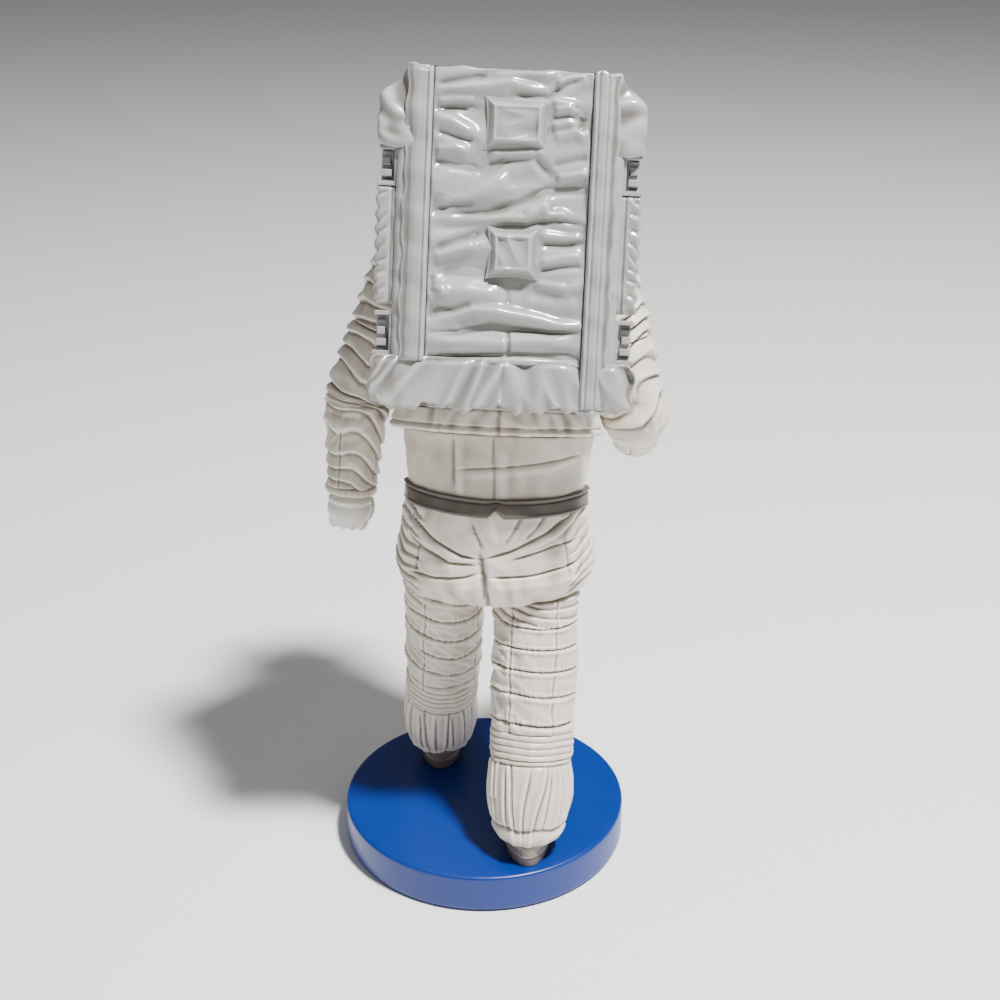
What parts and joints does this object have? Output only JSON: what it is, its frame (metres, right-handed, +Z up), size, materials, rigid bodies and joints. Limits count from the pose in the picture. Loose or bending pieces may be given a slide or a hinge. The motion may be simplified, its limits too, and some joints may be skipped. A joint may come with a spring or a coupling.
{
  "type": "astronaut action figure",
  "caption": "Walking astronaut display figure with a large back pack on a round base; its waist, arms, hands, helmet and visor turn and its pack pulls off.",
  "frame": {"origin": "centre of the round base's underside", "axes": "+Z up; the figure faces -Y, and +X is its left"},
  "size_m": [0.0922, 0.0841, 0.218],
  "materials": {
    "suit": "painted in a warm off-white with a soft sheen",
    "glove": "the same paint, a little darker",
    "belt": "taupe grey paint",
    "boot": "grey taupe paint",
    "sole": "dark taupe paint",
    "base": "polished blue",
    "felt": "black felt",
    "steel": "plain turned steel",
    "helmet": "glossy off-white paint",
    "visor_gold": "gold mirror",
    "bubble": "dark smoked, opaque",
    "lens": "pale lens",
    "controls": "light grey paint",
    "pack": "light cool grey, glossy paint",
    "vent": "mid grey paint"
  },
  "bodies": {
    "stand": {"base_disc": "base", "base_pad": "felt", "base_screw_left": "steel", "base_screw_right": "steel", "sole_left": "sole", "sole_right": "sole", "boot_left": "boot", "boot_right": "boot", "gaiter_left": "suit", "gaiter_right": "suit", "knee_band_left": "suit", "knee_band_right": "suit", "thigh_left": "suit", "thigh_right": "suit", "leg_rod_left": "steel", "leg_rod_right": "steel", "pelvis": "suit", "belt": "belt", "waist_sleeve": "suit", "waist_post": "steel"},
    "trunk": {"torso_front": "suit", "torso_back": "suit", "torso_flare": "suit", "hem_band": "suit", "neck_ring": "helmet", "chest_module": "controls", "chest_dials": "controls"},
    "helmet": {"helmet_shell": "helmet", "helmet_bubble": "bubble", "lamp_left": "helmet", "lamp_right": "helmet", "lamp_lens_left": "lens", "lamp_lens_right": "lens", "neck_peg": "steel"},
    "visor": {"sun_visor": "visor_gold", "visor_pin_left": "helmet", "visor_pin_right": "helmet"},
    "upper_arm_left": {"upper_arm_left": "suit", "shoulder_peg_left": "steel"},
    "upper_arm_right": {"upper_arm_right": "suit", "shoulder_peg_right": "steel"},
    "forearm_left": {"forearm_left": "suit", "cuff_left": "suit"},
    "forearm_right": {"forearm_right": "suit", "cuff_right": "suit"},
    "hand_left": {"glove_left": "glove"},
    "hand_right": {"glove_right": "glove"},
    "pack": {"pack_housing": "pack", "pack_cover": "pack", "pack_panel": "pack", "pack_pad_upper": "pack", "pack_pad_lower": "pack", "pack_rail_left": "pack", "pack_rail_right": "pack", "side_pod_left": "pack", "side_pod_right": "pack", "vent_block_left": "vent", "vent_block_right": "vent", "pack_skirt": "pack"}
  },
  "joints": [
    {"name": "waist_turn", "type": "hinge", "parent": "stand", "child": "trunk", "pos_m": [-0.00418, -0.00291, 0.1228], "axis": [-0.0436, -0.2921, 0.9554], "range_deg": [-20, 20]},
    {"name": "neck_turn", "type": "hinge", "parent": "trunk", "child": "helmet", "pos_m": [-0.00667, -0.01955, 0.17721], "axis": [-0.0436, -0.2921, 0.9554], "range_deg": [-50, 50]},
    {"name": "visor_lift", "type": "hinge", "parent": "helmet", "child": "visor", "pos_m": [-0.00731, -0.02668, 0.19028], "axis": [-0.999, 0.0128, -0.0417], "range_deg": [0, 75]},
    {"name": "pack_slide", "type": "slide", "parent": "trunk", "child": "pack", "axis": [0, 0.9563, 0.2924], "range_m": [0, 0.012]},
    {"name": "shoulder_left", "type": "hinge", "parent": "trunk", "child": "upper_arm_left", "pos_m": [0.01736, -0.01683, 0.16831], "axis": [-0.999, 0.0128, -0.0417], "range_deg": [-15, 100]},
    {"name": "arm_turn_left", "type": "hinge", "parent": "upper_arm_left", "child": "forearm_left", "pos_m": [0.0259, -0.0126, 0.14737], "axis": [-0.3712, -0.1837, 0.9102], "range_deg": [-30, 45]},
    {"name": "hand_turn_left", "type": "hinge", "parent": "forearm_left", "child": "hand_left", "pos_m": [0.03573, -0.00541, 0.10429], "axis": [-0.1062, -0.1414, 0.9842], "range_deg": [-90, 90]},
    {"name": "shoulder_right", "type": "hinge", "parent": "trunk", "child": "upper_arm_right", "pos_m": [-0.02979, -0.01622, 0.16634], "axis": [-0.999, 0.0128, -0.0417], "range_deg": [-15, 100]},
    {"name": "arm_turn_right", "type": "hinge", "parent": "upper_arm_right", "child": "forearm_right", "pos_m": [-0.03556, -0.01176, 0.14453], "axis": [-0.2506, 0.1941, -0.9484], "range_deg": [-5, 60]},
    {"name": "hand_turn_right", "type": "hinge", "parent": "forearm_right", "child": "hand_right", "pos_m": [-0.04268, -0.02943, 0.11152], "axis": [-0.0903, -0.8154, -0.5719], "range_deg": [-90, 90]}
  ]
}
